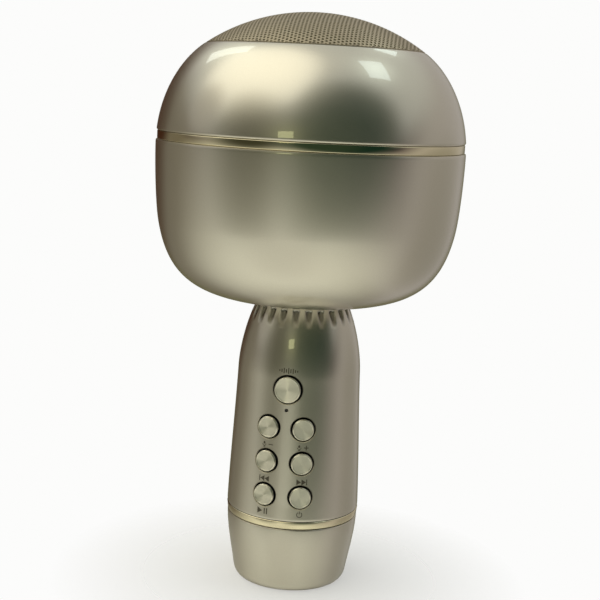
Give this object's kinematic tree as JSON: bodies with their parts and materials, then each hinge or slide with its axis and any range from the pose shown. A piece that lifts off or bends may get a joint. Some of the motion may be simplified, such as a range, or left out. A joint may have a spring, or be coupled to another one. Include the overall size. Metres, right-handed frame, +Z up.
{
  "type": "karaoke microphone",
  "caption": "Handheld wireless karaoke microphone with a mushroom-shaped speaker head, domed metal grille, gold trim rings and push buttons down the handle.",
  "frame": {"origin": "centre of the tail cap's flat underside, on the handle's axis", "axes": "+Z up along the handle to the grille; -Y is the side with the buttons; +X is to the right of someone facing the buttons"},
  "size_m": [0.124, 0.124, 0.2325],
  "materials": {
    "champagne_paint": "pearl metallic lacquer under a clear gloss coat, on moulded plastic",
    "gold_trim": "polished, gold tone",
    "grille_metal": "perforated sheet, satin champagne",
    "foam": "open-cell foam",
    "button_metal": "spun, pale champagne",
    "steel": "plain",
    "ferrite": "sintered",
    "black_plastic": "fine texture",
    "white_plastic": "moulded",
    "rubber": "matt",
    "paper": "pressed paper pulp",
    "copper_wire": "enamelled winding",
    "circuit_board": "solder mask",
    "cell_wrap": "shrink sleeve over a metal can",
    "clear_plastic": "clear",
    "red_wire": "insulated lead",
    "grey_wire": "screened lead"
  },
  "bodies": {
    "microphone": {"grille_dome": "grille_metal", "foam_windscreen": "foam", "head_upper_shell": "champagne_paint", "head_trim_ring": "gold_trim", "head_lower_shell": "champagne_paint", "mic_bridge": "black_plastic", "capsule_mount": "rubber", "mic_capsule": "steel", "bridge_screw_1": "steel", "bridge_screw_2": "steel", "bridge_screw_3": "steel", "baffle_screw_1": "steel", "baffle_screw_2": "steel", "baffle_screw_3": "steel", "speaker_screw_1": "steel", "speaker_screw_2": "steel", "speaker_screw_3": "steel", "baffle_plate": "black_plastic", "speaker_frame": "black_plastic", "speaker_magnet": "ferrite", "speaker_top_plate": "steel", "speaker_yoke": "steel", "speaker_surround": "rubber", "handle_front_shell": "champagne_paint", "handle_rear_shell": "champagne_paint", "handle_screw_1": "steel", "handle_screw_2": "steel", "handle_screw_3": "steel", "handle_screw_4": "steel", "handle_trim_ring": "gold_trim", "button_board": "circuit_board", "main_board": "circuit_board", "status_light_pipe": "clear_plastic", "usb_port": "steel", "aux_jack": "black_plastic", "card_slot": "steel", "battery_cell": "cell_wrap", "chassis": "white_plastic", "speaker_lead": "red_wire", "mic_lead": "grey_wire", "battery_lead": "red_wire", "effect_switch": "black_plastic", "mic_down_switch": "black_plastic", "mic_up_switch": "black_plastic", "previous_switch": "black_plastic", "next_switch": "black_plastic", "play_switch": "black_plastic", "power_switch": "black_plastic"},
    "effect_key": {"effect_button": "button_metal"},
    "mic_down_key": {"mic_down_button": "button_metal"},
    "mic_up_key": {"mic_up_button": "button_metal"},
    "previous_key": {"previous_button": "button_metal"},
    "next_key": {"next_button": "button_metal"},
    "play_key": {"play_button": "button_metal"},
    "power_key": {"power_button": "button_metal"},
    "cap_contact": {"battery_contact": "steel"},
    "tail_cap": {"tail_cap": "champagne_paint"},
    "cone": {"speaker_cone": "paper", "dust_cap": "paper", "voice_coil": "copper_wire"}
  },
  "joints": [
    {"name": "effect_press", "type": "slide", "parent": "microphone", "child": "effect_key", "axis": [0, 1, 0], "range_m": [0, 0.0005], "stiffness_N_per_m": 1500},
    {"name": "mic_down_press", "type": "slide", "parent": "microphone", "child": "mic_down_key", "axis": [0.2723, 0.9622, 0], "range_m": [0, 0.0005], "stiffness_N_per_m": 1500},
    {"name": "mic_up_press", "type": "slide", "parent": "microphone", "child": "mic_up_key", "axis": [-0.2723, 0.9622, 0], "range_m": [0, 0.0005], "stiffness_N_per_m": 1500},
    {"name": "previous_press", "type": "slide", "parent": "microphone", "child": "previous_key", "axis": [0.2723, 0.9622, 0], "range_m": [0, 0.0005], "stiffness_N_per_m": 1500},
    {"name": "next_press", "type": "slide", "parent": "microphone", "child": "next_key", "axis": [-0.2723, 0.9622, 0], "range_m": [0, 0.0005], "stiffness_N_per_m": 1500},
    {"name": "play_press", "type": "slide", "parent": "microphone", "child": "play_key", "axis": [0.2723, 0.9622, 0], "range_m": [0, 0.0005], "stiffness_N_per_m": 1500},
    {"name": "power_press", "type": "slide", "parent": "microphone", "child": "power_key", "axis": [-0.2723, 0.9622, 0], "range_m": [0, 0.0005], "stiffness_N_per_m": 1500},
    {"name": "cap_travel", "type": "slide", "parent": "microphone", "child": "cap_contact", "axis": [0, 0, -1], "range_m": [0, 0.00701]},
    {"name": "cap_turn", "type": "hinge", "parent": "cap_contact", "child": "tail_cap", "pos_m": [0, 0, 0], "axis": [0, 0, -1], "range_deg": [0, 720]},
    {"name": "cone_travel", "type": "slide", "parent": "microphone", "child": "cone", "axis": [0, 0, 1], "range_m": [-0.001, 0.001], "stiffness_N_per_m": 1500}
  ],
  "couplings": [
    {"joint": "cap_travel", "follows": "cap_turn", "m_per_rad": 0.000557}
  ]
}
